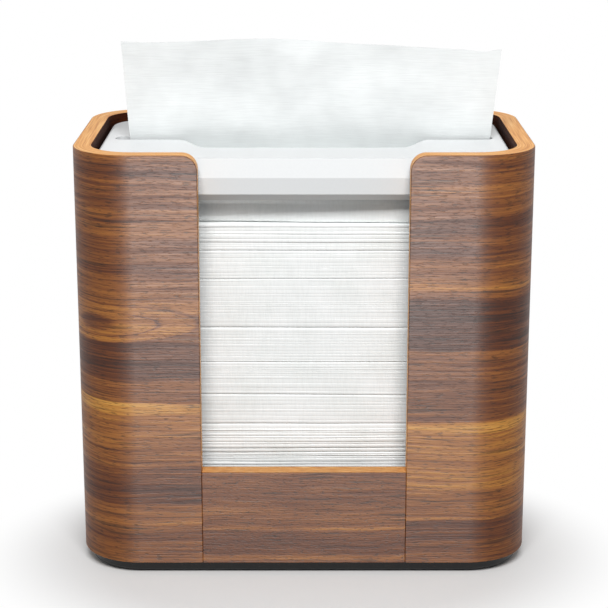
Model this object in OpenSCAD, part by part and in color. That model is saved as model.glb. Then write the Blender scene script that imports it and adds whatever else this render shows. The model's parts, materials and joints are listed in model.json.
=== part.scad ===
// Tabletop dispenser for interfolded napkins, in millimetres.
// The origin is on the table, under the middle of the box. The window faces -Y.

/* [Napkins] */
// Width of a folded napkin
napkin_w = 165; // [150:1:180]
// Depth of the folded stack
napkin_d = 99; // [92:0.5:120]
// Gap between the stack and the lid on it
stack_gap = 0.3; // [0.2:0.1:0.6]
// Folds that show on one side of the stack
fold_count = 44; // [20:1:50]
// How far a fold swells out
fold_depth = 0.9; // [0.4:0.1:1.5]
// Radius of the puffed fold at the top of the stack
top_fold_r = 6.3; // [4:0.1:9]
// Height of the raised napkin above the lid
napkin_rise = 43.5; // [20:0.5:80]
// Thickness of the raised napkin's two plies
napkin_t = 0.8; // [0.6:0.1:1.2]
// How far the raised napkin waves to and fro
napkin_wave = 2; // [0:0.1:2.4]

/* [Wooden shell] */
// Room beside the stack, to the left and right
side_room = 8.5; // [7:0.1:16]
// Room in front of the stack, which fingers need when they tidy it
front_room = 8; // [3:0.1:12]
// Room behind the stack
back_room = 1; // [0.6:0.1:5]
// Height of the plywood wrap
shell_h = 182; // [140:1:240]
// Thickness of the plywood
ply_t = 8; // [6:0.5:10]
// Outer radius of the bent corners
corner_r = 27; // [20:0.5:32]
// Width of the window between the two wings
window_w = 89; // [60:1:100]
// Height of the low panel under the window
panel_h = 42.3; // [28:0.1:70]
// Radius of the wings' top corners at the window
shoulder_r = 6.7; // [2:0.1:12]

/* [Dowels and corner blocks] */
// Radius of the dowels in the panel's joints
dowel_r = 2; // [1.5:0.1:2.5]
// Length of a dowel
dowel_len = 20; // [12:1:26]
// Distance of the dowels from the panel's two edges
dowel_inset = 10; // [6:0.5:12]
// Side of a corner block
block_side = 34; // [28:1:36]
// Height of a corner block
block_h = 14; // [12:0.5:20]
// Thickness of the board that the napkins stand on
floor_t = 4; // [3:0.5:8]

/* [Base] */
// Height of the moulded base
base_h = 4.7; // [4.2:0.1:9]
// How far the base is set in from the wood
base_inset = 3.3; // [1:0.1:5]
// Radius of the base's lower edge
base_edge_r = 1.2; // [0.4:0.1:2]
// Thickness of the base's top plate
base_plate_t = 2.2; // [1.5:0.1:2.8]
// Thickness of the base's outer wall
base_wall = 2.6; // [2:0.1:4]
// Thickness of the ribs under the base
base_rib_t = 1.6; // [1:0.1:2.4]

/* [Feet] */
// Radius of a rubber foot
foot_r = 7; // [4:0.5:8]
// Height of a rubber foot
foot_h = 1.8; // [1.2:0.1:3]
// How deep a foot sits in its recess
foot_sunk = 1; // [0.4:0.1:1.1]
// Distance of a foot's centre from the shell's side and front
foot_inset = 18.5; // [17:0.5:24]

/* [Base screws] */
// Radius of a base screw's shank
base_screw_r = 1.7; // [1.2:0.1:2]
// Length of a base screw
base_screw_len = 14; // [12:0.5:15]
// Distance of a base screw from the shell's side and front
base_screw_inset = 32; // [30:0.5:34]

/* [Lid] */
// Gap between the lid and the shell
lid_gap = 1.7; // [1:0.1:3]
// How far the lid's top lies below the rim
lid_recess = 3.5; // [1:0.1:12]
// Height of the lid
lid_h = 18; // [16:0.5:30]
// Thickness of the lid's top
lid_top_t = 2.5; // [1.5:0.1:3.5]
// Thickness of the lid's skirt
lid_wall = 2.5; // [1.6:0.1:3.5]
// Radius of the lid's top edge at the sides and back
lid_edge_r = 1.5; // [0.5:0.1:2.4]
// Height of the bright facet along the lid's front
facet_h = 7.9; // [3:0.1:9]
// How far that facet leans back
facet_lean = 2.9; // [1:0.1:3.5]
// Chamfer under the lid's front lip
lip_chamfer = 3.1; // [1:0.1:3.5]
// Thickness of the lid's front wall at the underside
lip_wall = 1.8; // [1.2:0.1:3]

/* [Slot] */
// Gap between the napkin's edge and the slot's end
slot_end_gap = 2; // [1.5:0.1:3]
// Width of the slot at its two ends
slot_w = 8; // [7:0.5:12]
// Length of the slot's wide middle
mouth_len = 86; // [50:1:90]
// Width of the slot's wide middle
mouth_w = 48; // [30:1:56]
// Length of the curve between the middle and each end
mouth_blend = 13; // [8:0.5:20]
// Thickness of the wall round the slot's throat
throat_wall = 1.6; // [1:0.1:2.4]

/* [Weight, liner and lid screws] */
// Thickness of the steel weight
weight_t = 3; // [2:0.5:6]
// Gap between the weight and the plastic round it
weight_gap = 1.2; // [0.5:0.1:2]
// Thickness of the liner under the weight
liner_t = 2; // [1.8:0.1:3]
// Gap between the liner and the plastic round it
liner_gap = 0.3; // [0.2:0.1:0.6]
// Radius of a lid screw's shank
lid_screw_r = 1.4; // [1:0.1:1.8]
// Length of a lid screw
lid_screw_len = 12; // [9:0.5:13]
// Radius of a screw boss
boss_r = 3.6; // [3:0.1:4.5]
// Distance of the end screws from the lid's left and right sides
boss_inset_x = 19.3; // [14:0.1:24]
// Distance of the screws from the lid's front and back
boss_inset_y = 15.3; // [13:0.1:17]
// Thickness of the ribs at the bosses
boss_rib_t = 1.4; // [1:0.1:2.4]

/* [Hidden] */
$fn = 96;

// A cut runs this far past the face that it goes through
over = 1;
// A screw or dowel has this much room in its hole, and this much below its tip
hole_gap = 0.05;
tip_gap = 0.5;
// Plastic round a foot's recess, and round the head of a base screw
recess_wall = 1.6;
head_wall = 1.4;
// How much rounder a corner block is than the bend that it stands in
bend_room = 1;

// Heights above the table
base_z = foot_h - foot_sunk;
wood_z = base_z + base_h;
rim_z = wood_z + shell_h;
floor_z = wood_z + block_h + floor_t;
lid_z = rim_z - lid_recess - lid_h;
lid_top_z = lid_z + lid_h;
liner_top_z = lid_z + liner_t;
weight_top_z = liner_top_z + weight_t;
stack_top_z = lid_z - stack_gap;

// The well that the stack stands in, the wood round it, and the lid that slides in it
well_w = napkin_w + 2 * side_room;
well_d = napkin_d + front_room + back_room;
stack_y = (front_room - back_room) / 2;
well_r = corner_r - ply_t;
shell_w = well_w + 2 * ply_t;
shell_d = well_d + 2 * ply_t;
lid_w = well_w - 2 * lid_gap;
lid_d = well_d - 2 * lid_gap;
lid_r = well_r - lid_gap;
lip_t = lip_chamfer + lip_wall;
cavity_w = lid_w - 2 * lid_wall;
cavity_d = lid_d - lid_wall - lip_t;
cavity_y = (lip_t - lid_wall) / 2;
cavity_r = lid_r - lid_wall;
slot_len = napkin_w + 2 * slot_end_gap;
boss_x = lid_w / 2 - boss_inset_x;
boss_y = lid_d / 2 - boss_inset_y;

// Screw heads
base_head_r = 2 * base_screw_r;
base_head_h = base_screw_r;
lid_head_r = 2 * lid_screw_r;
lid_head_h = lid_screw_r;

// The four corners and the six lid screws
CORNERS = [[1, -1], [1, 1], [-1, 1], [-1, -1]];
LID_SCREWS = [for (x = [-1:1], y = [-1, 1]) [x * boss_x, y * boss_y]];

// Shapes used by several pieces

module rounded_rect(w, d, r) {
  union() {
    square([w - 2 * r, d], center = true);
    square([w, d - 2 * r], center = true);
    for (c = CORNERS)
      translate([c[0] * (w / 2 - r), c[1] * (d / 2 - r)]) circle(r);
  }
}

module rounded_block(w, d, r, h) {
  linear_extrude(h) rounded_rect(w, d, r);
}

// A rounded block whose top edge is a quarter round of radius e
module eased_block(w, d, r, h, e) {
  rounded_block(w, d, r, h - e);
  rounded_block(w - 2 * e, d - 2 * e, r - e, h);
  for (s = [-1, 1]) {
    translate([-(w / 2 - r), s * (d / 2 - e), h - e]) rotate([0, 90, 0]) cylinder(r = e, h = w - 2 * r);
    translate([s * (w / 2 - e), d / 2 - r, h - e]) rotate([90, 0, 0]) cylinder(r = e, h = d - 2 * r);
  }
  for (c = CORNERS)
    translate([c[0] * (w / 2 - r), c[1] * (d / 2 - r), h - e])
      rotate_extrude() translate([r - e, 0]) circle(e);
}

// A bar along X whose section is drawn in Y and Z
module bar_x(len) {
  rotate([90, 0, 90]) linear_extrude(len, center = true) children();
}

// Smooth step from 0 to 1
function ease(t) = t * t * (3 - 2 * t);

// The slot's outline, grown by g: narrow ends, and curves out to the wide middle
function slot_edge(g) = let (
  steps = 10,
  half_end = slot_w / 2 + g,
  half_mouth = mouth_w / 2 + g,
  x_mouth = mouth_len / 2 + g,
  x_end = slot_len / 2 - slot_w / 2
) concat(
  [[x_end, half_end]],
  [for (i = [0:steps]) let (t = i / steps)
    [x_mouth + mouth_blend * (1 - t), half_end + (half_mouth - half_end) * ease(t)]]
);

module slot_shape(g) {
  right = slot_edge(g);
  left = [for (i = [len(right) - 1:-1:0]) [-right[i][0], right[i][1]]];
  upper = concat(right, left);
  lower = [for (i = [len(upper) - 1:-1:0]) [upper[i][0], -upper[i][1]]];
  union() {
    polygon(concat(upper, lower));
    for (s = [-1, 1])
      translate([s * (slot_len / 2 - slot_w / 2), 0]) circle(slot_w / 2 + g);
  }
}

// A countersunk screw standing on its head at z = 0, pointing up
module screw(r, len, head_r, head_h) {
  cylinder(r1 = head_r, r2 = r, h = head_h);
  cylinder(r = r, h = len - r);
  translate([0, 0, len - r]) cylinder(r1 = r, r2 = r / 4, h = r);
}

// The room that such a screw takes in the plate under its head
module screw_seat(r, head_r, head_h, h) {
  translate([0, 0, -over]) cylinder(r = head_r + hole_gap, h = over);
  cylinder(r1 = head_r + hole_gap, r2 = r + hole_gap, h = head_h);
  cylinder(r = r + hole_gap, h = h);
}

// A hole for the screw's point in wood or a boss
module pilot(r, depth) {
  translate([0, 0, -over]) cylinder(r = r + hole_gap, h = depth + over + tip_gap);
}

// Wooden shell

function dowel_z(i) = wood_z + (i < 2 ? dowel_inset : panel_h - dowel_inset);
function dowel_side(i) = i % 2 == 0 ? -1 : 1;

module dowel_rod(i, extra) {
  translate([dowel_side(i) * window_w / 2, -(shell_d - ply_t) / 2, dowel_z(i)])
    rotate([0, 90, 0]) cylinder(r = dowel_r + extra, h = dowel_len + (extra > 0 ? 2 * tip_gap : 0), center = true);
}

// What the window takes out of the front, seen from the front, with rounded shoulders
module window_cut() {
  cut_h = shell_h + over;
  union() {
    translate([-window_w / 2, -over]) square([window_w, cut_h + over]);
    for (s = [-1, 1])
      translate([s * (window_w + shoulder_r) / 2, shell_h - shoulder_r / 2 + over / 2]) difference() {
        square([shoulder_r, shoulder_r + over], center = true);
        translate([s * shoulder_r / 2, -(shoulder_r + over) / 2]) circle(shoulder_r);
      }
  }
}

module wood_shell() {
  color("#8a5a3a") difference() {
    translate([0, 0, wood_z]) rounded_block(shell_w, shell_d, corner_r, shell_h);
    translate([0, 0, wood_z - over]) rounded_block(well_w, well_d, well_r, shell_h + 2 * over);
    translate([0, -shell_d / 2 + ply_t + over, wood_z])
      rotate([90, 0, 0]) linear_extrude(ply_t + 2 * over) window_cut();
    for (i = [0:3]) dowel_rod(i, hole_gap);
  }
}

module front_panel() {
  color("#8f5f3e") difference() {
    translate([-window_w / 2, -shell_d / 2, wood_z]) cube([window_w, ply_t, panel_h]);
    for (i = [0:3]) dowel_rod(i, hole_gap);
  }
}

module panel_dowel(i) {
  color("#d9b98a") dowel_rod(i, 0);
}

// Inside the foot of the shell

function screw_at(c) = [c[0] * (shell_w / 2 - base_screw_inset), c[1] * (shell_d / 2 - base_screw_inset)];
function foot_at(c) = [c[0] * (shell_w / 2 - foot_inset), c[1] * (shell_d / 2 - foot_inset)];

// A block fills the corner flat against both walls, and clears the bend itself
module corner_block(i) {
  c = CORNERS[i];
  color("#d2ab7c") translate([0, 0, wood_z]) difference() {
    linear_extrude(block_h) intersection() {
      rounded_rect(well_w, well_d, well_r + bend_room);
      translate([c[0] * (well_w - block_side) / 2, c[1] * (well_d - block_side) / 2])
        square([block_side, block_side], center = true);
    }
    translate(screw_at(c)) pilot(base_screw_r, base_screw_len - base_h);
  }
}

module floor_board() {
  color("#c9a274") translate([0, 0, floor_z - floor_t])
    rounded_block(well_w - 2 * liner_gap, well_d - 2 * liner_gap, well_r - liner_gap, floor_t);
}

// Base

base_w = shell_w - 2 * base_inset;
base_d = shell_d - 2 * base_inset;
base_r = corner_r - base_inset;
under_z = base_h - base_plate_t;

module base_tray() {
  color("#1c1e20") translate([0, 0, base_z]) difference() {
    union() {
      difference() {
        translate([0, 0, base_h]) mirror([0, 0, 1]) eased_block(base_w, base_d, base_r, base_h, base_edge_r);
        translate([0, 0, -over])
          rounded_block(base_w - 2 * base_wall, base_d - 2 * base_wall, base_r - base_wall, under_z + over);
      }
      for (c = CORNERS) {
        translate(foot_at(c)) cylinder(r = foot_r + recess_wall, h = under_z);
        translate(screw_at(c)) cylinder(r = base_head_r + head_wall, h = under_z);
      }
      for (s = [-1:1])
        translate([s * screw_at([1, 1])[0], 0, under_z / 2])
          cube([base_rib_t, base_d - base_wall, under_z], center = true);
      for (s = [-1, 1])
        translate([0, s * screw_at([1, 1])[1], under_z / 2])
          cube([base_w - base_wall, base_rib_t, under_z], center = true);
    }
    for (c = CORNERS) {
      translate([foot_at(c)[0], foot_at(c)[1], -over]) cylinder(r = foot_r + hole_gap, h = foot_sunk + over);
      translate(screw_at(c)) screw_seat(base_screw_r, base_head_r, base_head_h, base_h + over);
    }
  }
}

module base_screw(i) {
  color("#b9bcc0") translate([screw_at(CORNERS[i])[0], screw_at(CORNERS[i])[1], base_z])
    screw(base_screw_r, base_screw_len, base_head_r, base_head_h);
}

module foot(i) {
  color("#2a2a2b") translate([foot_at(CORNERS[i])[0], foot_at(CORNERS[i])[1], 0]) cylinder(r = foot_r, h = foot_h);
}

// Lid

module lid_front_cuts() {
  front = -lid_d / 2;
  bar_x(lid_w + 2 * over) union() {
    polygon([
      [front + facet_lean, lid_top_z],
      [front, lid_top_z - facet_h],
      [front - over, lid_top_z - facet_h],
      [front - over, lid_top_z + over],
      [front + facet_lean, lid_top_z + over]
    ]);
    polygon([
      [front, lid_z + lip_chamfer],
      [front + lip_chamfer, lid_z],
      [front + lip_chamfer, lid_z - over],
      [front - over, lid_z - over],
      [front - over, lid_z + lip_chamfer]
    ]);
  }
}

// The throat round the slot, grown by g; at both ends it runs into the skirt
module throat_outline(g) {
  slot_shape(throat_wall + g);
  square([lid_w - lid_wall, slot_w + 2 * (throat_wall + g)], center = true);
}

module lid_rib(p, h) {
  inner = abs(p[0]) < boss_r ? mouth_w / 2 : slot_w / 2;
  outer = lid_d / 2 - (p[1] < 0 ? lip_t : lid_wall);
  translate([p[0] - boss_rib_t / 2, p[1] < 0 ? -outer : inner, 0]) cube([boss_rib_t, outer - inner, h]);
}

module lid_cover() {
  boss_h = lid_top_z - lid_top_t - weight_top_z;
  color("#e9ebec") difference() {
    union() {
      difference() {
        translate([0, 0, lid_z]) eased_block(lid_w, lid_d, lid_r, lid_h, lid_edge_r);
        translate([0, cavity_y, lid_z - over])
          rounded_block(cavity_w, cavity_d, cavity_r, lid_h - lid_top_t + over);
      }
      translate([0, 0, lid_z]) linear_extrude(lid_h - lid_top_t) throat_outline(0);
      translate([0, 0, weight_top_z])
        for (p = LID_SCREWS) {
          translate(p) cylinder(r = boss_r, h = boss_h);
          lid_rib(p, boss_h);
        }
    }
    translate([0, 0, lid_z - over]) linear_extrude(lid_h + 2 * over) slot_shape(0);
    lid_front_cuts();
    for (p = LID_SCREWS)
      translate([p[0], p[1], weight_top_z]) pilot(lid_screw_r, lid_screw_len - liner_t - weight_t);
  }
}

// Half of a plate that fills the lid between skirt and throat, g clear of both
module half_plate(side, g, h) {
  linear_extrude(h) difference() {
    translate([0, cavity_y]) rounded_rect(cavity_w - 2 * g, cavity_d - 2 * g, cavity_r - g);
    throat_outline(g);
    square([lid_w, slot_w], center = true);
    translate([0, -side * lid_d / 2]) square([lid_w, lid_d], center = true);
  }
}

module lid_weight(side) {
  color("#8d9194") translate([0, 0, liner_top_z]) difference() {
    half_plate(side, liner_gap + weight_gap, weight_t);
    for (p = LID_SCREWS)
      translate([p[0], p[1], -over]) cylinder(r = lid_screw_r + weight_gap / 2, h = weight_t + 2 * over);
  }
}

module lid_liner(side) {
  color("#e4e6e7") translate([0, 0, lid_z]) difference() {
    half_plate(side, liner_gap, liner_t);
    for (p = LID_SCREWS)
      translate(p) screw_seat(lid_screw_r, lid_head_r, lid_head_h, liner_t + over);
  }
}

module lid_screw(i) {
  color("#b9bcc0") translate([LID_SCREWS[i][0], LID_SCREWS[i][1], lid_z])
    screw(lid_screw_r, lid_screw_len, lid_head_r, lid_head_h);
}

// Napkins

stack_h = stack_top_z - floor_z;
SHARES = rands(0.6, 1.5, fold_count, 7);
SWELLS = rands(0.35, 1, fold_count, 21);

top_fold_dip = 28;
arc_steps = 8;
top_fold_h = top_fold_r * (1 + sin(top_fold_dip));

// The bend presses the stack's corners round: the least radius that keeps them corner_room from it
corner_room = 0.5;
bend_reach = well_r - corner_room;
reach_x = well_r - side_room;
reach_y = well_r - min(front_room, back_room);
pressed_r = max(1, reach_x + reach_y - bend_reach - sqrt(2 * (bend_reach - reach_x) * (bend_reach - reach_y)));

function total(v, n) = n <= 0 ? 0 : v[n - 1] + total(v, n - 1);

// Height of the groove under fold i, counted from the floor to the puffed fold
function groove_z(i) = floor_z + (stack_h - top_fold_h) * total(SHARES, i) / total(SHARES, fold_count);

// One side of the stack, from the bottom to the top: a swell for each fold, then the puffed fold
function fold_side(side) = concat(
  [for (i = [0:fold_count - 1], t = [0.08, 0.35, 0.7, 0.95])
    let (
      z = groove_z(i) + t * (groove_z(i + 1) - groove_z(i)),
      swell = fold_depth * SWELLS[side > 0 ? fold_count - 1 - i : i] * sin(180 * t)
    )
    [side * (napkin_d / 2 - fold_depth + swell), z]],
  [for (i = [0:arc_steps]) let (a = -top_fold_dip + i * (90 + top_fold_dip) / arc_steps)
    [side * (napkin_d / 2 - top_fold_r * (1 - cos(a))), stack_top_z - top_fold_r * (1 - sin(a))]]
);

module napkin_stack() {
  front = fold_side(-1);
  back = fold_side(1);
  color("#f2f4f4") translate([0, stack_y, 0]) intersection() {
    bar_x(napkin_w) polygon(concat(
      [[-(napkin_d / 2 - fold_depth), floor_z]],
      front,
      [for (i = [len(back) - 1:-1:0]) back[i]],
      [[napkin_d / 2 - fold_depth, floor_z]]
    ));
    translate([0, 0, floor_z - over])
      rounded_block(napkin_w, napkin_d, pressed_r, stack_h + 2 * over);
  }
}

// The raised napkin narrows towards the slot, waves to and fro, and has an uneven top edge
sheet_cols = 48;
sheet_rows = 12;
sheet_narrowing = 4;
edge_drop = 2;
edge_slope = 1.8;
edge_wave = 0.8;
edge_turn = 290;
edge_start = 43;

// Two waves make the fall: each has a share, a turn over half the width and a turn over the height, in degrees
SHEET_WAVES = [[0.6, 300, 40], [0.4, 520, -60]];
still_share = 0.4;

function sheet_x(u, v) = u * (napkin_w / 2 - sheet_narrowing * (1 - v));
function sheet_top(u) = lid_top_z + napkin_rise - edge_drop - edge_slope * u + edge_wave * cos(edge_turn * u + edge_start);
function sheet_swing(u, v) = total([for (w = SHEET_WAVES) w[0] * sin(w[1] * u + w[2] * v)], len(SHEET_WAVES));
function sheet_y(u, v) = napkin_wave * sheet_swing(u, v) * (still_share + (1 - still_share) * v);
function sheet_point(u, v, side) = [
  sheet_x(u, v),
  sheet_y(u, v) + side * napkin_t / 2,
  stack_top_z + v * (sheet_top(u) - stack_top_z)
];

module raised_napkin() {
  n = sheet_cols + 1;
  m = sheet_rows + 1;
  points = [for (side = [-1, 1], j = [0:sheet_rows], i = [0:sheet_cols])
    sheet_point(2 * i / sheet_cols - 1, j / sheet_rows, side)];
  quads = concat(
    [for (j = [0:sheet_rows - 1], i = [0:sheet_cols - 1])
      let (a = j * n + i) [a, a + n, a + n + 1, a + 1]],
    [for (j = [0:sheet_rows - 1], i = [0:sheet_cols - 1])
      let (a = n * m + j * n + i) [a, a + 1, a + n + 1, a + n]],
    [for (i = [0:sheet_cols - 1], edge = [0, 1])
      let (a = edge * sheet_rows * n + i, b = a + n * m)
      edge == 0 ? [a, a + 1, b + 1, b] : [a, b, b + 1, a + 1]],
    [for (j = [0:sheet_rows - 1], edge = [0, 1])
      let (a = j * n + edge * sheet_cols, b = a + n * m)
      edge == 0 ? [a, b, b + n, a + n] : [a, a + n, b + n, b]]
  );
  color("#f5f8f8") polyhedron(points, quads);
}

wood_shell();
front_panel();
base_tray();
floor_board();
napkin_stack();
raised_napkin();
lid_cover();
lid_weight(-1);  // lid_weight_front
lid_weight(1);  // lid_weight_back
lid_liner(-1);  // lid_liner_front
lid_liner(1);  // lid_liner_back
for (i = [1:4]) {
  panel_dowel(i - 1);
  corner_block(i - 1);
  base_screw(i - 1);
  foot(i - 1);
}
for (i = [1:6])
  lid_screw(i - 1);
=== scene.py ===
import json
import math
import random

import bmesh
import bpy
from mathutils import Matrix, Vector, noise

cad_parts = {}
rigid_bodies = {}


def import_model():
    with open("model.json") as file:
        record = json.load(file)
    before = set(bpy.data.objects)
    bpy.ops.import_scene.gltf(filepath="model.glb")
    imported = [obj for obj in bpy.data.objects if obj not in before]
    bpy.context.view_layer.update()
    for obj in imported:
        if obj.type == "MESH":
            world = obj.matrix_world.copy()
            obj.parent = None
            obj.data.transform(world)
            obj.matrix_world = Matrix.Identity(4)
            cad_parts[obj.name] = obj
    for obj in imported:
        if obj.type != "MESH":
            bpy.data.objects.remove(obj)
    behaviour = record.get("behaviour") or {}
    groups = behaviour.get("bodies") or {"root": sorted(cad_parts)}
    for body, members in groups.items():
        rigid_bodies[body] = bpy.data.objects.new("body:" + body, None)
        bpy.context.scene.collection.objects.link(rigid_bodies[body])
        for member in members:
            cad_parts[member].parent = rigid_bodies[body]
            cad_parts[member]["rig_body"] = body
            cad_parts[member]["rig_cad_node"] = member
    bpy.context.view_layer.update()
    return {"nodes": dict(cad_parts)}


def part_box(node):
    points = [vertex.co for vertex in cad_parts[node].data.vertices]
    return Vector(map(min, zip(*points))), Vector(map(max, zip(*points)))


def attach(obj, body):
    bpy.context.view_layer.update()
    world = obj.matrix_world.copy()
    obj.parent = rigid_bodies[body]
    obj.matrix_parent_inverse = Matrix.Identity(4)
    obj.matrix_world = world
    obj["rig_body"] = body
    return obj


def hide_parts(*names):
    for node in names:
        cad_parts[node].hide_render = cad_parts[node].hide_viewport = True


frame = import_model()
nodes = frame["nodes"]
mm = 0.001
tiny = 0.01 * mm  # heights and points closer than this count as the same


# small helpers

def clearSelection():
    if bpy.context.mode != "OBJECT":
        bpy.ops.object.mode_set(mode="OBJECT")
    bpy.ops.object.select_all(action="DESELECT")


def makeActive(piece):
    clearSelection()
    piece.select_set(True)
    bpy.context.view_layer.objects.active = piece


def pickParts(piece, kind, test):
    bpy.ops.mesh.select_mode(type=kind)
    bpy.ops.mesh.select_all(action="DESELECT")
    work = bmesh.from_edit_mesh(piece.data)
    for part in work.faces if kind == "FACE" else work.edges:
        if test(part):
            part.select_set(True)
    bmesh.update_edit_mesh(piece.data)


def edgeMiddle(edge):
    return (edge.verts[0].co + edge.verts[1].co) / 2


def applyModifiers(piece):
    makeActive(piece)
    for modifier in list(piece.modifiers):
        bpy.ops.object.modifier_apply(modifier=modifier.name)


def easeEdges(piece, width, angle=35):
    bevel = piece.modifiers.new("easedEdges", "BEVEL")
    bevel.width = width
    bevel.segments = 2
    bevel.limit_method = "ANGLE"
    bevel.angle_limit = math.radians(angle)
    applyModifiers(piece)


def smoothPaper(piece):
    makeActive(piece)
    bpy.ops.object.shade_smooth_by_angle(angle=math.radians(60))


def weighNormals(piece):
    # broad faces stay flat, and the shading turns only in the eased edges
    makeActive(piece)
    bpy.ops.object.shade_smooth()
    weighted = piece.modifiers.new("flatFaces", "WEIGHTED_NORMAL")
    weighted.keep_sharp = True
    weighted.weight = 100
    applyModifiers(piece)


def setPlace(piece):
    makeActive(piece)
    bpy.ops.object.transform_apply(location=True, rotation=True, scale=True)


def meshPiece(name, work):
    mesh = bpy.data.meshes.new(name)
    work.to_mesh(mesh)
    work.free()
    piece = bpy.data.objects.new(name, mesh)
    bpy.context.scene.collection.objects.link(piece)
    return piece


# material helpers

def newMaterial(name):
    material = bpy.data.materials.new(name)
    material.use_nodes = True
    tree = material.node_tree
    tree.nodes.clear()
    out = tree.nodes.new("ShaderNodeOutputMaterial")
    shader = tree.nodes.new("ShaderNodeBsdfPrincipled")
    tree.links.new(shader.outputs[0], out.inputs[0])
    return material, tree, shader


def feed(tree, socket, value):
    # a number or a colour is set on the socket, anything else is linked to it
    if isinstance(value, (int, float, tuple)):
        socket.default_value = value
    else:
        tree.links.new(value, socket)


def mathNode(tree, operation, *values):
    node = tree.nodes.new("ShaderNodeMath")
    node.operation = operation
    for socket, value in zip(node.inputs, values):
        feed(tree, socket, value)
    return node.outputs[0]


def addAll(tree, first, *rest):
    for value in rest:
        first = mathNode(tree, "ADD", first, value)
    return first


def times(tree, first, second):
    return mathNode(tree, "MULTIPLY", first, second)


def centred(tree, value, weight):
    return times(tree, mathNode(tree, "SUBTRACT", value, 0.5), weight)


def smoothShare(tree, value, low, high, toLow=0.0, toHigh=1.0):
    node = tree.nodes.new("ShaderNodeMapRange")
    node.interpolation_type = "SMOOTHSTEP"
    for key, number in (("From Min", low), ("From Max", high), ("To Min", toLow), ("To Max", toHigh)):
        node.inputs[key].default_value = number
    tree.links.new(value, node.inputs["Value"])
    return node.outputs[0]


def joined(tree, x, y):
    node = tree.nodes.new("ShaderNodeCombineXYZ")
    feed(tree, node.inputs[0], x)
    feed(tree, node.inputs[1], y)
    return node.outputs[0]


def parted(tree, vector):
    node = tree.nodes.new("ShaderNodeSeparateXYZ")
    tree.links.new(vector, node.inputs[0])
    return node.outputs


def mapped(tree, source, scale, place=(0, 0, 0)):
    node = tree.nodes.new("ShaderNodeMapping")
    node.inputs["Scale"].default_value = scale
    node.inputs["Location"].default_value = place
    tree.links.new(source, node.inputs["Vector"])
    return node.outputs[0]


def objectPlace(tree):
    return tree.nodes.new("ShaderNodeTexCoord").outputs["Object"]


def uvPlace(tree, name):
    node = tree.nodes.new("ShaderNodeUVMap")
    node.uv_map = name
    return node.outputs[0]


def noiseNode(tree, vector, scale, detail=4.0, roughness=0.55):
    node = tree.nodes.new("ShaderNodeTexNoise")
    node.inputs["Scale"].default_value = scale
    node.inputs["Detail"].default_value = detail
    node.inputs["Roughness"].default_value = roughness
    tree.links.new(vector, node.inputs["Vector"])
    return node.outputs["Fac"]


def grainNoise(tree, vector, look):
    # a look holds the noise's scale, its detail, its roughness and, if it has one, its shift
    scale, detail, roughness, *shift = look
    return noiseNode(tree, mapped(tree, vector, scale, *shift), 1.0, detail, roughness)


def rampNode(tree, value, stops):
    node = tree.nodes.new("ShaderNodeValToRGB")
    marks = node.color_ramp.elements
    marks[0].position, marks[0].color = stops[0][0], colour(stops[0][1])
    marks[1].position, marks[1].color = stops[-1][0], colour(stops[-1][1])
    for place, shade in stops[1:-1]:
        mark = marks.new(place)
        mark.color = colour(shade)
    tree.links.new(value, node.inputs[0])
    return node.outputs[0]


def mixColours(tree, blend, share, first, second):
    node = tree.nodes.new("ShaderNodeMix")
    node.data_type = "RGBA"
    node.blend_type = blend
    feed(tree, node.inputs[0], share)
    for socket, value in zip(node.inputs[6:8], (first, second)):
        feed(tree, socket, colour(value) if isinstance(value, (str, tuple)) else value)
    return node.outputs[2]


def mixShaders(tree, share, first, second):
    node = tree.nodes.new("ShaderNodeMixShader")
    for socket, value in zip(node.inputs, (share, first, second)):
        tree.links.new(value, socket)
    return node.outputs[0]


def colour(shade):
    if isinstance(shade, (int, float)):
        return (shade, shade, shade, 1)
    if isinstance(shade, tuple):
        return (*shade[:3], 1)
    parts = [int(shade[i:i + 2], 16) / 255 for i in (1, 3, 5)]
    return (*[c / 12.92 if c <= 0.04045 else ((c + 0.055) / 1.055) ** 2.4 for c in parts], 1)


def darker(shade, share):
    return tuple(c * share for c in colour(shade)[:3])


def setSurface(tree, shader, base, rough, gloss=0.5):
    tree.links.new(base, shader.inputs["Base Color"])
    feed(tree, shader.inputs["Roughness"], rough)
    shader.inputs["Specular IOR Level"].default_value = gloss


def addBump(tree, shader, height, strength, distance):
    bump = tree.nodes.new("ShaderNodeBump")
    bump.inputs["Strength"].default_value = strength
    bump.inputs["Distance"].default_value = distance
    tree.links.new(height, bump.inputs["Height"])
    tree.links.new(bump.outputs[0], shader.inputs["Normal"])


# walnut veneer on the wrap and the panel, bent with the wood by its own map

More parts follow.
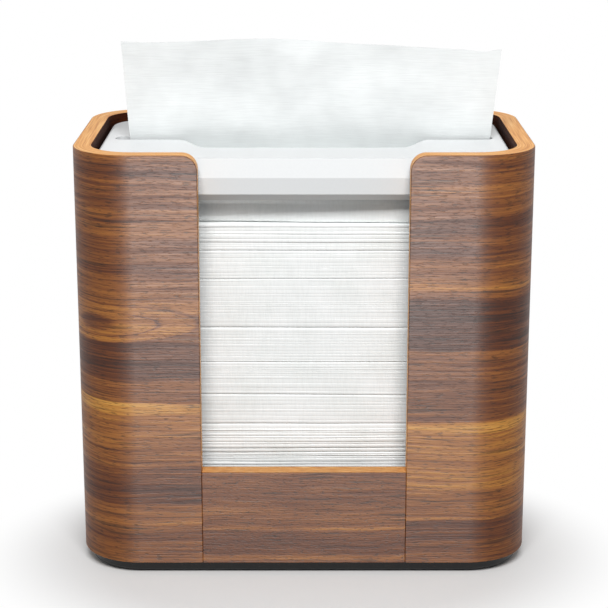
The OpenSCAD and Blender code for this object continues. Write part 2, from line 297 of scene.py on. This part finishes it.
# tone of the staves by height in mm, from 0 for dark to 1 for gold
staves = {
    "left": [
        (0, 0.5), (10, 0.52), (16, 0.46), (18, 0.3), (21, 0.42), (24, 0.56), (31, 0.56), (33, 0.3),
        (42, 0.34), (50, 0.34), (52, 0.56), (66, 0.58), (74, 0.66), (75.5, 0.84), (79.5, 0.81),
        (80.5, 0.39), (85, 0.41), (87, 0.59), (89, 0.39), (92, 0.25), (104, 0.24), (106, 0.41),
        (118, 0.57), (121, 0.69), (124, 0.53), (134, 0.49), (139, 0.27), (141, 0.47), (147, 0.47),
        (150, 0.3), (153, 0.47), (164, 0.51)],
    "leftTop": [(0, 0.39), (6, 0.41), (10, 0.51), (15, 0.37), (24, 0.47)],
    "right": [
        (0, 0.46), (14, 0.46), (17, 0.3), (25, 0.28), (26, 0.62), (28, 0.5), (37, 0.54), (41, 0.68),
        (66, 0.7), (68, 0.94), (70.3, 0.92), (70.8, 0.38), (80, 0.4), (99, 0.38), (101.5, 0.58),
        (103, 0.24), (122, 0.2), (126, 0.43), (128.5, 0.53), (129.5, 0.79), (132, 0.59), (143, 0.49),
        (145, 0.31), (150, 0.33), (152, 0.49), (156, 0.27), (161, 0.31), (164, 0.47), (168, 0.45),
        (173, 0.61), (178, 0.35), (188, 0.49)],
    "panel": [
        (0, 0.34), (6, 0.4), (7.5, 0.66), (9, 0.46), (11, 0.3), (17, 0.34), (20.5, 0.4), (21.5, 0.66),
        (23, 0.46), (30, 0.5), (35, 0.4), (44, 0.46), (50, 0.42)],
    "height": 188.0,
    "panelHeight": 50.0,
    "leftTopFrom": 164.0,
    "leftTopSeam": (0.1640, 0.1646),
    "backSeam": (-0.05, 0.05),
}
woodTones = [(0.0, "#2a1206"), (0.22, "#4e250f"), (0.38, "#6b3a19"), (0.52, "#865024"),
             (0.66, "#9e642e"), (0.82, "#b67a33"), (1.0, "#d09848")]

# the oval figure on the left wing: its place, its rings from the middle out, and its dark eye
figure = {
    "along": -0.2070,
    "height": 0.1146,
    "length": 0.0493,
    "rise": 0.0090,
    "edge": (0.9, 1.06),
    "wander": ((60, 160, 1), 3.0, 0.55),
    "ringWander": 0.22,
    "rings": [(0.0, 0.5), (0.3, 0.56), (0.5, 0.62), (0.59, 0.58), (0.61, 0.26), (0.64, 0.58),
              (0.80, 0.66), (0.92, 0.62), (0.965, 0.3)],
    "eyeNarrower": (3.9, 2.3),
    "eyeWander": 0.6,
    "eyeEdge": (0.55, 1.1),
    "eyeShare": 0.85,
    "eyeTone": (0.2, 0.2, 0.2),
}

# each noise: scale along and across the grain, detail, roughness, shift
grain = {
    "wander": ((10, 30, 1), 2.0, 0.55),
    "broad": ((5, 120, 1), 2.0, 0.5),
    "lines": ((12, 480, 1), 3.0, 0.65),
    "fine": ((30, 1500, 1), 2.0, 0.6),
    "weights": (0.4, 0.85, 0.5),  # of broad, lines and fine in the tone
    "darkLines": ((26, 800, 1), 1.0, 0.5, (5, 2, 0)),
    "darkLineTones": [(0.31, 0.35), (0.39, 1.0)],
    "pores": ((210, 1900, 1), 1.5, 0.6, (3, 1, 0)),
    "poreTones": [(0.37, 0.38), (0.44, 1.0)],
    "darkShare": 0.85,
    "slant": 0.37,
    "satin": (0.06, -0.05),  # change of roughness in dark and in light lines
    "pitWeights": (0.3, 0.5, 0.4),  # of pores, lines and fine in the relief
    "pitStrength": 0.4,
    "pitDepth": 0.4 * mm,
}

veneers = {
    "walnutOuter": {"shift": 0.0, "sheets": ("left", "right")},
    "walnutInner": {"shift": 3.1, "sheets": ("left", "right"), "tint": "#7c6152", "rough": 0.7, "gloss": 0.1},
    "walnutPanel": {"shift": 7.7, "sheets": ("panel",), "wave": 0.002, "play": 0.65, "stretch": 0.35},
}


def staveTone(tree, height, stops, low, high):
    span = high - low
    share = mathNode(tree, "DIVIDE", mathNode(tree, "SUBTRACT", height, low * mm), span * mm)
    return rampNode(tree, share, [(min(1.0, z / span), tone) for z, tone in stops])


def wrapTone(tree, along, risen):
    # the two sheets of the wrap run into each other behind
    top, start = staves["height"], staves["leftTopFrom"]
    left = staveTone(tree, risen, staves["left"], 0.0, top)
    leftTop = staveTone(tree, risen, staves["leftTop"], start, top)
    left = mixColours(tree, "MIX", smoothShare(tree, risen, *staves["leftTopSeam"]), left, leftTop)
    right = staveTone(tree, risen, staves["right"], 0.0, top)
    return mixColours(tree, "MIX", smoothShare(tree, along, *staves["backSeam"]), left, right)


def addFigure(tree, tone, along, risen, moved, wander):
    du = mathNode(tree, "DIVIDE", mathNode(tree, "SUBTRACT", along, figure["along"]), figure["length"])
    dv = mathNode(tree, "DIVIDE", mathNode(tree, "SUBTRACT", risen, figure["height"]), figure["rise"])
    reach = mathNode(tree, "SQRT", addAll(tree, times(tree, du, du), times(tree, dv, dv)))
    uneven = centred(tree, grainNoise(tree, moved, figure["wander"]), figure["ringWander"])
    rings = rampNode(tree, addAll(tree, reach, uneven), figure["rings"])
    eyeX, eyeZ = [times(tree, way, narrower) for way, narrower in zip((du, dv), figure["eyeNarrower"])]
    eye = mathNode(tree, "SQRT", addAll(
        tree, times(tree, eyeX, eyeX), times(tree, eyeZ, eyeZ), centred(tree, wander, figure["eyeWander"])))
    eyeShare = smoothShare(tree, eye, *figure["eyeEdge"], figure["eyeShare"], 0.0)
    rings = mixColours(tree, "MIX", eyeShare, rings, figure["eyeTone"])
    return mixColours(tree, "MIX", smoothShare(tree, reach, *figure["edge"], 1.0, 0.0), tone, rings)


def walnutMaterial(name, shift, sheets, tint="#ffffff", rough=0.46, wave=0.006, gloss=0.26, play=1.0,
                   stretch=1.0):
    material, tree, shader = newMaterial(name)
    uv = uvPlace(tree, "grainMap")
    along, height, _ = parted(tree, uv)
    moved = mapped(tree, uv, (1, 1, 1), (shift, shift * grain["slant"], 0))
    wander = grainNoise(tree, moved, grain["wander"])
    risen = addAll(tree, height, centred(tree, wander, wave))
    if "left" in sheets:
        tone = wrapTone(tree, along, risen)
        tone = addFigure(tree, tone, along, risen, moved, wander)
    else:
        tone = staveTone(tree, risen, staves[sheets[0]], 0.0, staves["panelHeight"])

    streamed = joined(tree, addAll(tree, times(tree, along, stretch), shift), risen)
    broad, lines, fine = [grainNoise(tree, streamed, grain[key]) for key in ("broad", "lines", "fine")]
    layers = [centred(tree, layer, weight * play)
              for layer, weight in zip((broad, lines, fine), grain["weights"])]
    base = rampNode(tree, addAll(tree, tone, *layers), woodTones)
    # thin dark lines, and pores as short dashes
    darkLines = grainNoise(tree, streamed, grain["darkLines"])
    lineDark = rampNode(tree, darkLines, grain["darkLineTones"])
    poreDark = rampNode(tree, grainNoise(tree, streamed, grain["pores"]), grain["poreTones"])
    base = mixColours(tree, "MULTIPLY", grain["darkShare"], base, lineDark)
    base = mixColours(tree, "MULTIPLY", grain["darkShare"], base, poreDark)
    base = mixColours(tree, "MULTIPLY", 1.0, base, tint)
    inDark, inLight = grain["satin"]
    satin = rampNode(tree, lines, [(0.3, rough + inDark), (0.7, rough + inLight)])
    setSurface(tree, shader, base, satin, gloss)
    pits = addAll(tree, *[times(tree, layer, weight)
                          for layer, weight in zip((poreDark, lines, fine), grain["pitWeights"])])
    addBump(tree, shader, pits, grain["pitStrength"], grain["pitDepth"])
    return material


# the cut edges of the plywood
plyLook = {
    "wander": ((120, 60, 1), 3.0, 0.55),
    "wanderDepth": 0.7 * mm,
    "plies": ((1400, 30, 1), 2.0, 0.6),
    "tones": [(0.3, "#b5712f"), (0.45, "#cf8f48"), (0.55, "#dea35c"), (0.7, "#e8b878")],
    "rough": 0.55,
    "relief": (0.25, 0.3 * mm),
    # painted shade: the panel's ply edge is darker, standing in for the shade of the stack and the wings over
    # it
    "panelPaintedShade": "#e4e0dc",
}


def plyMaterial(name, tint="#ffffff"):
    material, tree, shader = newMaterial(name)
    uv = uvPlace(tree, "plyMap")
    below, along, _ = parted(tree, uv)
    wander = grainNoise(tree, uv, plyLook["wander"])
    depth = addAll(tree, below, times(tree, wander, plyLook["wanderDepth"]))
    plies = grainNoise(tree, joined(tree, depth, along), plyLook["plies"])
    # a tint other than white darkens the edge; on the panel it is painted shade
    base = mixColours(tree, "MULTIPLY", 1.0, rampNode(tree, plies, plyLook["tones"]), tint)
    setSurface(tree, shader, base, plyLook["rough"])
    addBump(tree, shader, plies, *plyLook["relief"])
    return material


# the bent wrap and the panel in its window

wrapSizes = {
    "plyT": 8 * mm,
    "veneerT": 0.4 * mm,
    "cornerR": 27 * mm,
    "windowW": 89 * mm,
    "shoulderR": 6.7 * mm,
    "cornerSteps": 24,
    "shoulderSteps": 12,
    "edgeEase": 0.35 * mm,
}


def wrapPlace(point, size, width, depth):
    # distance along the wrap from the middle of the back, and depth below the outer face
    half = Vector((width / 2 - size["cornerR"], depth / 2 - size["cornerR"]))
    side = 1 if point.x >= 0 else -1
    x, y = abs(point.x), point.y
    r = size["cornerR"]
    quarter = math.pi / 2 * r
    if abs(y) <= half.y and x > half.x:
        return side * (half.x + quarter + half.y - y), width / 2 - x
    if x <= half.x:
        if y > 0:
            return side * x, depth / 2 - y
        return side * (half.x + 2 * quarter + 2 * half.y + half.x - x), depth / 2 + y
    offset = Vector((x - half.x, abs(y) - half.y))
    turn = math.atan2(offset.x, offset.y)
    if y > 0:
        return side * (half.x + turn * r), r - offset.length
    return side * (half.x + 2 * half.y + 2 * quarter - turn * r), r - offset.length


def mapWood(piece, size, width, depth):
    mesh = piece.data
    while mesh.uv_layers:
        mesh.uv_layers.remove(mesh.uv_layers[0])
    grainMap = mesh.uv_layers.new(name="grainMap")
    plyMap = mesh.uv_layers.new(name="plyMap")
    for face in mesh.polygons:
        middle = wrapPlace(face.center, size, width, depth)[1]
        face.material_index = 2
        if middle < size["veneerT"]:
            face.material_index = 0
        elif middle > size["plyT"] - size["veneerT"]:
            face.material_index = 1
        for loop in face.loop_indices:
            point = mesh.vertices[mesh.loops[loop].vertex_index].co
            along, below = wrapPlace(point, size, width, depth)
            grainMap.data[loop].uv = (along, point.z)
            plyMap.data[loop].uv = (below, along + point.z)


def makeWrap():
    size = wrapSizes
    low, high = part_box("wood_shell")
    width, depth, height = high - low
    windowSide = size["windowW"] / 2
    clearSelection()
    bpy.ops.mesh.primitive_plane_add(size=1, location=(0, 0, low.z))
    piece = bpy.context.active_object
    piece.name = "bentWrap"
    piece.scale = (width, depth, 1)
    setPlace(piece)
    bpy.ops.object.mode_set(mode="EDIT")
    bpy.ops.mesh.select_all(action="SELECT")
    bpy.ops.mesh.bevel(offset=size["cornerR"], segments=size["cornerSteps"], affect="VERTICES")
    bpy.ops.mesh.select_all(action="SELECT")
    bpy.ops.mesh.inset(thickness=size["plyT"], use_even_offset=True)
    bpy.ops.mesh.delete(type="FACE")
    # open the ring at the window
    for side in (-1, 1):
        bpy.ops.mesh.select_all(action="SELECT")
        bpy.ops.mesh.bisect(plane_co=(side * windowSide, 0, 0), plane_no=(1, 0, 0))
    pickParts(piece, "FACE", lambda f: f.calc_center_median().y < 0
              and abs(f.calc_center_median().x) < windowSide)
    bpy.ops.mesh.delete(type="FACE")
    bpy.ops.mesh.select_all(action="SELECT")
    bpy.ops.mesh.extrude_region_move(TRANSFORM_OT_translate={"value": (0, 0, height)})
    bpy.ops.mesh.select_all(action="SELECT")
    bpy.ops.mesh.normals_make_consistent(inside=False)
    # round the wings' shoulders at the window
    pickParts(piece, "EDGE", lambda e: abs(edgeMiddle(e).z - high.z) < tiny
              and abs(abs(edgeMiddle(e).x) - windowSide) < tiny
              and abs(e.verts[0].co.y - e.verts[1].co.y) > size["plyT"] / 2
              and edgeMiddle(e).y < 0)
    bpy.ops.mesh.bevel(offset=size["shoulderR"], segments=size["shoulderSteps"], affect="EDGES")
    bpy.ops.object.mode_set(mode="OBJECT")
    easeEdges(piece, size["edgeEase"])
    weighNormals(piece)
    mapWood(piece, size, width, depth)
    for material in (walnutOuter, walnutInner, plyEdge):
        piece.data.materials.append(material)
    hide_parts("wood_shell")
    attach(piece, "box")
    return piece


def makePanel():
    size = wrapSizes
    low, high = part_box("front_panel")
    shellLow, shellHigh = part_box("wood_shell")
    clearSelection()
    bpy.ops.mesh.primitive_cube_add(size=1, location=(low + high) / 2)
    piece = bpy.context.active_object
    piece.name = "windowPanel"
    piece.scale = high - low
    setPlace(piece)
    easeEdges(piece, size["edgeEase"])
    weighNormals(piece)
    mapWood(piece, size, shellHigh.x - shellLow.x, shellHigh.y - shellLow.y)
    for material in (walnutPanel, walnutInner, plyPanelShaded):
        piece.data.materials.append(material)
    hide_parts("front_panel")
    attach(piece, "box")
    return piece


walnutOuter, walnutInner, walnutPanel = [walnutMaterial(name, **look) for name, look in veneers.items()]
plyEdge = plyMaterial("plyEdge")
# the panel's ply edge with painted shade
plyPanelShaded = plyMaterial("plyPanelShaded", plyLook["panelPaintedShade"])
print("wood: the bent wrap and the panel")
bentWrap = makeWrap()
windowPanel = makePanel()


# mouldings and the pieces inside

plastics = {
    "lidWhite": {"shade": "#dfe1e2", "rough": 0.25, "gloss": 0.25},
    "baseBlack": {"shade": "#101113", "rough": 0.22, "gloss": 0.5},
}
metals = {
    "screwSteel": {"shade": "#c4c6c8", "rough": 0.3},
    "weightSteel": {"shade": "#8f9294", "rough": 0.42},
}
beechLook = {
    "lines": ((20, 300, 300), 3.0, 0.55),
    "tones": [(0.35, "#b98d5c"), (0.5, "#cfa575"), (0.68, "#e2bf92")],
    "rough": 0.6,
}
rubberLook = {"gritScale": 2500.0, "dark": "#202021", "pale": "#2c2c2d", "rough": 0.75}
lidSizes = {"edgeEase": 0.3 * mm, "easeAngle": 14, "flatAngle": 0.5}


def plasticMaterial(name, shade, rough, gloss):
    material, tree, shader = newMaterial(name)
    mottle = noiseNode(tree, objectPlace(tree), 900.0, 2.0)
    base = mixColours(tree, "MIX", mottle, shade, darker(shade, 0.96))
    setSurface(tree, shader, base, rough, gloss)
    addBump(tree, shader, mottle, 0.06, 0.1 * mm)
    return material


def metalMaterial(name, shade, rough):
    material, tree, shader = newMaterial(name)
    brush = noiseNode(tree, mapped(tree, objectPlace(tree), (40, 900, 900)), 1.0, 2.0)
    base = mixColours(tree, "MIX", brush, shade, darker(shade, 0.8))
    setSurface(tree, shader, base, rough)
    shader.inputs["Metallic"].default_value = 1.0
    return material


def plainWoodMaterial(name):
    material, tree, shader = newMaterial(name)
    lines = grainNoise(tree, objectPlace(tree), beechLook["lines"])
    setSurface(tree, shader, rampNode(tree, lines, beechLook["tones"]), beechLook["rough"])
    return material


def rubberMaterial(name):
    material, tree, shader = newMaterial(name)
    grit = noiseNode(tree, objectPlace(tree), rubberLook["gritScale"], 2.0)
    base = mixColours(tree, "MIX", grit, rubberLook["dark"], rubberLook["pale"])
    setSurface(tree, shader, base, rubberLook["rough"])
    addBump(tree, shader, grit, 0.2, 0.2 * mm)
    return material


def dress(starts, material):
    for name, piece in nodes.items():
        if name.startswith(starts):
            piece.data.materials.clear()
            piece.data.materials.append(material)


whitePlastic, blackPlastic = [plasticMaterial(name, **look) for name, look in plastics.items()]
screwSteel, weightSteel = [metalMaterial(name, **look) for name, look in metals.items()]

dress(("base_screw", "lid_screw"), screwSteel)
dress("lid_weight", weightSteel)
dress("lid_liner", whitePlastic)
dress(("corner_block", "panel_dowel", "floor_board"), plainWoodMaterial("beech"))
dress("foot", rubberMaterial("footRubber"))
dress("base_tray", blackPlastic)


def makeLid():
    # the CAD lid with its small flat facets joined and its edges eased
    source = nodes["lid_cover"]
    piece = source.copy()
    piece.data = source.data.copy()
    piece.name = "lidMoulding"
    piece.parent = None
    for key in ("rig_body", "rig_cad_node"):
        if key in piece:
            del piece[key]
    bpy.context.scene.collection.objects.link(piece)
    makeActive(piece)
    bpy.ops.object.mode_set(mode="EDIT")
    bpy.ops.mesh.select_all(action="SELECT")
    bpy.ops.mesh.remove_doubles(threshold=tiny)
    bpy.ops.mesh.dissolve_limited(angle_limit=math.radians(lidSizes["flatAngle"]))
    bpy.ops.object.mode_set(mode="OBJECT")
    piece.data.materials.clear()
    piece.data.materials.append(whitePlastic)
    easeEdges(piece, lidSizes["edgeEase"], lidSizes["easeAngle"])
    weighNormals(piece)
    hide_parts("lid_cover")
    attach(piece, "lid")


print("lid and base")
makeLid()


# paper

papers = {
    "stackPaper": {"shade": "#f2f5f4", "crepeScale": (900, 900, 160), "crepeDepth": 0.2},
    # the standing napkin is the stack's paper painted a shade darker, as painted shade
    "raisedPaperShaded": {"shade": "#e4e7e7", "crepeScale": (90, 90, 1700), "crepeDepth": 0.25,
                    # foot: heights in m over which the painted shade at the slot fades out
                    "paleShade": "#eef1f1", "foot": (0.178, 0.2)},
}


def paperMaterial(name, shade, crepeScale, crepeDepth, paleShade="#fafcfc", foot=None):
    material, tree, shader = newMaterial(name)
    place = objectPlace(tree)
    crepe = grainNoise(tree, place, (crepeScale, 2.0, 0.6))
    soft = noiseNode(tree, place, 60.0, 2.0)
    base = rampNode(tree, soft, [(0.3, shade), (0.7, paleShade)])
    base = mixColours(tree, "MULTIPLY", 0.5, base, rampNode(tree, crepe, [(0.36, 0.93), (0.58, 1.0)]))
    if foot:
        # painted shade: greyer where it leaves the slot
        slotShadeShare = smoothShare(tree, parted(tree, place)[2], *foot, 1.0, 0.0)
        base = mixColours(tree, "MULTIPLY", slotShadeShare, base, (0.9, 0.91, 0.91))
    setSurface(tree, shader, base, 0.9, 0.2)
    addBump(tree, shader, crepe, crepeDepth, 0.3 * mm)
    return material


stackPaper, raisedPaperShaded = [paperMaterial(name, **look) for name, look in papers.items()]

stackSizes = {
    "layers": 92,
    "layerSpread": (0.55, 1.45),
    "rowPlaces": (0.0, 0.05, 0.14, 0.34, 0.66, 0.86, 0.95),
    "columns": 96,
    "backStep": 6,
    "front": 0.55 * mm,
    "swell": (0.25 * mm, 0.55 * mm),
    "groove": (0.08 * mm, 0.24 * mm),
    "grooveKinds": (0.2, 0.5, 1.0, 1.6),
    "deepGroove": 0.45 * mm,
    "deepHeights": (142.8, 130.4, 108.5, 93.0, 77.9, 64.6, 53.2, 51.3, 49.5),
    "deepRoom": 0.7 * mm,
    "lean": 0.4 * mm,
    "layerLean": 0.5 * mm,
    "lift": 0.5 * mm,
    "layerLift": 0.12 * mm,
    "calmEnd": 3 * mm,
    "topFoldR": 6.3 * mm,
    "topFoldSteps": 12,
    "topFoldHeight": 11.3 * mm,
    "topFoldBack": 3.5 * mm,
    "topFoldSlant": 0.041,
    "topFoldWave": 0.2 * mm,
    "topFoldHem": ((0, 2.6 * mm), (0.35 * mm, 1.3 * mm), (0.6 * mm, 0.7 * mm), (1.2 * mm, 0.45 * mm),
                   (2.8 * mm, 0.15 * mm)),
    "corner": 7.2 * mm,
    "seed": 5,
}


def liveliness(height):
    # the folds show more at the foot and near the top than between them
    return 0.6 if height < 62 * mm else 0.42 if height > 146 * mm else 0.13


def layerHeights(size, draw, low, foldFrom):
    deep = sorted(h * mm for h in size["deepHeights"] if h * mm < foldFrom - 0.4 * mm)
    step = (foldFrom - low.z) / size["layers"]
    marks = [low.z]
    while marks[-1] < foldFrom - 0.6 * step:
        marks.append(marks[-1] + step * draw.uniform(*size["layerSpread"]))
    marks = [m for m in marks if all(abs(m - d) > size["deepRoom"] for d in deep)] + deep
    return sorted(m for m in marks if m < foldFrom - 0.5 * mm) + [foldFrom], deep


def stackRows(size, low, high):
    # each row: height, how far it lies behind the stack's front, and its layer
    draw = random.Random(size["seed"])
    foldFrom = high.z - size["topFoldHeight"]
    marks, deep = layerHeights(size, draw, low, foldFrom)
    rows = []
    for index, (start, end) in enumerate(zip(marks, marks[1:])):
        calm = liveliness(start)
        swell = draw.uniform(*size["swell"]) * calm
        groove = draw.uniform(*size["groove"]) * draw.choice(size["grooveKinds"]) * calm
        if start in deep:
            groove = size["deepGroove"]
        for share in size["rowPlaces"]:
            edge = abs(2 * share - 1) ** 5
            back = size["front"] - swell * (1 - edge) + groove * (share == 0)
            # a deep groove is open a little above and below its middle
            nearGroove = (start in deep and share) or (end in deep and 1 - share)
            if nearGroove and nearGroove < 0.2:
                back += size["deepGroove"] * (0.8 if nearGroove < 0.1 else 0.3)
            rows.append((start + (end - start) * share, max(0.0, back), index))
    for rise, back in size["topFoldHem"]:
        rows.append((foldFrom + rise, back, len(marks)))
    r, steps = size["topFoldR"], size["topFoldSteps"]
    for step in range(steps + 1):
        angle = math.pi / 2 * step / steps
        rows.append((high.z - r * (1 - math.sin(angle)), r * (1 - math.cos(angle)), len(marks)))
    return rows


def makeStack():
    size = stackSizes
    low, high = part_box("napkin_stack")
    middle, half = (low + high) / 2, (high - low) / 2
    columns, corner, calmEnd = size["columns"], size["corner"], size["calmEnd"]
    work = bmesh.new()

    def uneven(*place):
        return noise.noise(Vector(place))

    def sidePoint(share, row):
        height, back, layer = row
        x = (2 * share - 1) * half.x
        wobble = (uneven(x * 13, height * 25, 1.3) + 0.4) * size["lean"]
        wobble += uneven(x * 13, layer * 3.7, 1.3) * size["layerLean"] * liveliness(height)
        if height > high.z - size["topFoldHeight"] - tiny:
            wobble = size["topFoldBack"] - size["topFoldSlant"] * x
            wobble += size["topFoldWave"] * uneven(x * 30, 0, 8)
        lift = uneven(x * 17, height * 45, 2.0) * size["lift"]
        lift += uneven(x * 45, layer * 1.9 + 5, 7.0) * size["layerLift"]
        edge = min(1.0, (height - low.z) / calmEnd, (high.z - height) / calmEnd)
        y = -half.y + max(0.0, back + wobble * edge)
        # the corners are pressed round
        cx, cy = half.x - corner, half.y - corner
        offset = Vector((abs(x) - cx, -y - cy))
        if offset.x > 0 and offset.y > 0 and offset.length > corner:
            offset = offset.normalized() * corner
            x, y = math.copysign(cx + offset.x, x), -(cy + offset.y)
        return Vector((middle.x + x, y, height + lift * edge))

    rings = []
    for row in stackRows(size, low, high):
        front = [sidePoint(i / columns, row) for i in range(columns + 1)]
        back = [Vector((p.x, -p.y, p.z)) for p in reversed(front[::size["backStep"]])]
        rings.append([work.verts.new((p.x, p.y + middle.y, p.z)) for p in front + back])
    for lower, upper in zip(rings, rings[1:]):
        for i in range(len(lower)):
            j = (i + 1) % len(lower)
            work.faces.new((lower[i], lower[j], upper[j], upper[i]))
    for ring in (rings[0], rings[-1]):
        work.faces.new(ring)
    bmesh.ops.recalc_face_normals(work, faces=work.faces)
    piece = meshPiece("foldedStack", work)
    smoothPaper(piece)
    piece.data.materials.append(stackPaper)
    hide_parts("napkin_stack")
    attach(piece, "box")


raisedSizes = {
    "columns": 170,
    "rows": 60,
    "thick": 0.35 * mm,
    "topLeft": (-80.6 * mm, 227.6 * mm),
    "topRight": (87.2 * mm, 223.8 * mm),
    # the uneven top edge: middle and width as shares of the edge, and rise in mm
    "topBumps": ((0.08, 0.07, -0.3), (0.40, 0.20, 2.5), (0.70, 0.10, 0.5), (0.95, 0.05, -0.9)),
    "baseLeft": -76.5 * mm,
    "baseRight": 81 * mm,
    "lean": 0.5 * mm,
    "leanFrom": 0.3,
    "bendFrom": 171 * mm,
    "bendRise": 20 * mm,
    "tuck": 1.2 * mm,
    "bulge": 3.1 * mm,
    "wave": 1.5 * mm,
    "waveLength": 125 * mm,
    "creases": (2.6 * mm, 0.9 * mm, 0.18 * mm),
    "looseAtSlot": 0.25,
}


def raisedTop(size, u):
    # height above the line between the top corners; u runs from 0 at the left to 1
    bumps = [rise * math.exp(-((u - at) / wide) ** 2) for at, wide, rise in size["topBumps"]]
    return sum(bumps) * mm * min(1, 30 * u * (1 - u))


def raisedWave(size, x, z, v):
    # the fall of the paper, from almost flat in the slot to loose at the top
    loose = size["looseAtSlot"] + (1 - size["looseAtSlot"]) * v
    large, middling, small = size["creases"]
    wave = size["wave"] * math.sin(2 * math.pi * (x / size["waveLength"] + 0.16 + 0.10 * v)) * loose
    wave += noise.noise(Vector((x * 17 + z * 6, z * 24, 4.0))) * large * loose
    wave += noise.noise(Vector((x * 40 - z * 22, z * 44 + x * 20, 9.0))) * middling * loose
    wave += noise.noise(Vector((x * 110, z * 120, 2.0))) * small
    return wave


def makeRaised():
    size = raisedSizes
    low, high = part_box("raised_napkin")
    columns, rowsCount = size["columns"], size["rows"]
    left, right = size["topLeft"], size["topRight"]
    work = bmesh.new()
    grid = []
    for j in range(rowsCount + 1):
        v = j / rowsCount
        line = []
        for i in range(columns + 1):
            u = i / columns
            xTop = left[0] + u * (right[0] - left[0])
            xBase = size["baseLeft"] + u * (size["baseRight"] - size["baseLeft"])
            zTop = left[1] + u * (right[1] - left[1]) + raisedTop(size, u)
            x = xBase + (xTop - xBase) * v
            z = low.z + v * (zTop - low.z)
            out = min(1.0, max(0.0, (z - size["bendFrom"]) / size["bendRise"]))
            out = out * out * (3 - 2 * out)
            lean = size["lean"] * max(0.0, v - size["leanFrom"]) ** 2
            y = raisedWave(size, x, z, v) + size["tuck"] - size["bulge"] * out - lean
            line.append(work.verts.new((x, y, z)))
        grid.append(line)
    for lower, upper in zip(grid, grid[1:]):
        for i in range(columns):
            work.faces.new((lower[i], lower[i + 1], upper[i + 1], upper[i]))
    piece = meshPiece("standingNapkin", work)
    solid = piece.modifiers.new("twoPlies", "SOLIDIFY")
    solid.thickness = size["thick"]
    solid.offset = 0
    applyModifiers(piece)
    smoothPaper(piece)
    piece.data.materials.append(raisedPaperShaded)
    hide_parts("raised_napkin")
    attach(piece, "box")


print("paper: the stack and the standing napkin")
makeStack()
makeRaised()


# floor, light and camera

sceneSizes = {
    "floorHalf": 3.0,
    "floorShade": 0.68,
    "floorBounce": 0.32,  # shade of the floor in the light that it throws on the part
    "whiteScale": (0.8, 1, 1),  # the floor turns white round the part, away from its shadow
    "whiteShift": (0, 0.035, 0),
    "whiteEdge": (0.069, 0.121),
    "lens": 106.95,
    "cameraPlace": (0.0, -0.8005, 0.3242),
    "cameraTilt": 74.756,
    "shiftY": 0.0032,
    "worldStrength": 0.24,
}
lamps = {
    "keySoft": {"place": (0.0, -0.976, 1.273), "target": (0, -0.05, 0.17),
                "width": 0.8, "height": 0.32, "power": 24},
    "sheenPanel": {"place": (0.0, -1.05, 0.08), "target": (0, 0, 0.1),
                   "width": 0.40, "height": 0.16, "power": 23},
}


def seenDirectly(tree):
    # 1 for what the camera sees, also in a mirror or through glass, and 0 for light on the part
    rays = tree.nodes.new("ShaderNodeLightPath").outputs
    seen = mathNode(tree, "MAXIMUM", rays["Is Camera Ray"], rays["Is Glossy Ray"])
    return mathNode(tree, "MAXIMUM", seen, rays["Is Transmission Ray"])


def makeFloor():
    clearSelection()
    bpy.ops.mesh.primitive_plane_add(size=2 * sceneSizes["floorHalf"], location=(0, 0, 0))
    floor = bpy.context.active_object
    floor.name = "floor"
    setPlace(floor)
    material, tree, shader = newMaterial("paleFloor")
    shader.inputs["Base Color"].default_value = colour(sceneSizes["floorShade"])
    shader.inputs["Roughness"].default_value = 0.8
    shader.inputs["Specular IOR Level"].default_value = 0.1
    distance = tree.nodes.new("ShaderNodeVectorMath")
    distance.operation = "LENGTH"
    place = mapped(tree, objectPlace(tree), sceneSizes["whiteScale"], sceneSizes["whiteShift"])
    tree.links.new(place, distance.inputs[0])
    away = smoothShare(tree, distance.outputs["Value"], *sceneSizes["whiteEdge"])
    white = tree.nodes.new("ShaderNodeEmission")
    grey = tree.nodes.new("ShaderNodeBsdfDiffuse")
    grey.inputs["Color"].default_value = colour(sceneSizes["floorBounce"])
    near = mixShaders(tree, away, shader.outputs[0], white.outputs[0])
    whole = mixShaders(tree, seenDirectly(tree), grey.outputs[0], near)
    out = [n for n in tree.nodes if n.type == "OUTPUT_MATERIAL"][0]
    tree.links.new(whole, out.inputs[0])
    floor.data.materials.append(material)


def makeWorld():
    world = bpy.data.worlds.new("studio")
    bpy.context.scene.world = world
    world.use_nodes = True
    tree = world.node_tree
    tree.nodes.clear()
    out = tree.nodes.new("ShaderNodeOutputWorld")
    soft, white = [tree.nodes.new("ShaderNodeBackground") for _ in range(2)]
    for node, strength in ((soft, sceneSizes["worldStrength"]), (white, 1.0)):
        node.inputs["Color"].default_value = (1, 1, 1, 1)
        node.inputs["Strength"].default_value = strength
    whole = mixShaders(tree, seenDirectly(tree), soft.outputs[0], white.outputs[0])
    tree.links.new(whole, out.inputs[0])


def makeLamp(name, place, target, width, height, power):
    data = bpy.data.lights.new(name, "AREA")
    data.shape = "RECTANGLE"
    data.size, data.size_y = width, height
    data.energy = power
    lamp = bpy.data.objects.new(name, data)
    bpy.context.scene.collection.objects.link(lamp)
    lamp.location = place
    lamp.rotation_euler = (Vector(target) - Vector(place)).to_track_quat("-Z", "Y").to_euler()
    return lamp


def makeCamera():
    data = bpy.data.cameras.new("camera")
    data.lens = sceneSizes["lens"]
    data.sensor_width = 36
    data.shift_y = sceneSizes["shiftY"]
    camera = bpy.data.objects.new("camera", data)
    bpy.context.scene.collection.objects.link(camera)
    camera.location = sceneSizes["cameraPlace"]
    camera.rotation_euler = (math.radians(sceneSizes["cameraTilt"]), 0, 0)
    bpy.context.scene.camera = camera


print("studio")
makeFloor()
makeWorld()
makeLamp("keySoft", **lamps["keySoft"])
# a low panel that only shows as the satin sheen of the wood's front
sheenPanel = makeLamp("sheenPanel", **lamps["sheenPanel"])
sheenPanel.visible_diffuse = False
satinPieces = bpy.data.collections.new("satinPieces")
for piece in (bentWrap, windowPanel):
    satinPieces.objects.link(piece)
sheenPanel.light_linking.receiver_collection = satinPieces
makeCamera()
bpy.context.scene.view_settings.view_transform = "Standard"
